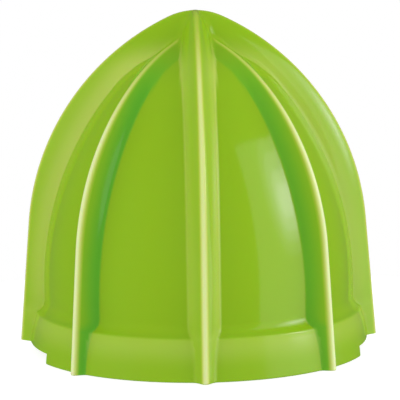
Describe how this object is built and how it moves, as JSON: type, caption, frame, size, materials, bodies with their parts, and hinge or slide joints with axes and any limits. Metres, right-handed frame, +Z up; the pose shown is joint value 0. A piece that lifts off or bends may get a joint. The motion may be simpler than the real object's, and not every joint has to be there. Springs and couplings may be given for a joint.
{
  "type": "citrus juicer pressing cone set",
  "caption": "Ribbed pressing cone for an electric citrus juicer: a hollow large cone that drops over a small inner cone with a hexagonal spindle socket.",
  "frame": {"origin": "centre of the rim's plane, on the cone's axis", "axes": "+Z up along the axis that the set turns about, from the rim to the tip; main ribs at +X, -X, +Y and -Y; the rim's notches at +X and -X"},
  "size_m": [0.0842, 0.0846, 0.08],
  "materials": {
    "lime_plastic": "polished lime-green moulded plastic, slightly translucent at its thin rib crests",
    "pale_grey_plastic": "satin pale grey moulded plastic"
  },
  "bodies": {
    "inner_cone": {"small_cone": "lime_plastic", "drive_bush": "pale_grey_plastic"},
    "outer_cone": {"large_cone": "lime_plastic"}
  },
  "joints": [
    {"name": "large_cone_lift", "type": "slide", "parent": "inner_cone", "child": "outer_cone", "axis": [0, 0, 1], "range_m": [0, 0.06]}
  ]
}
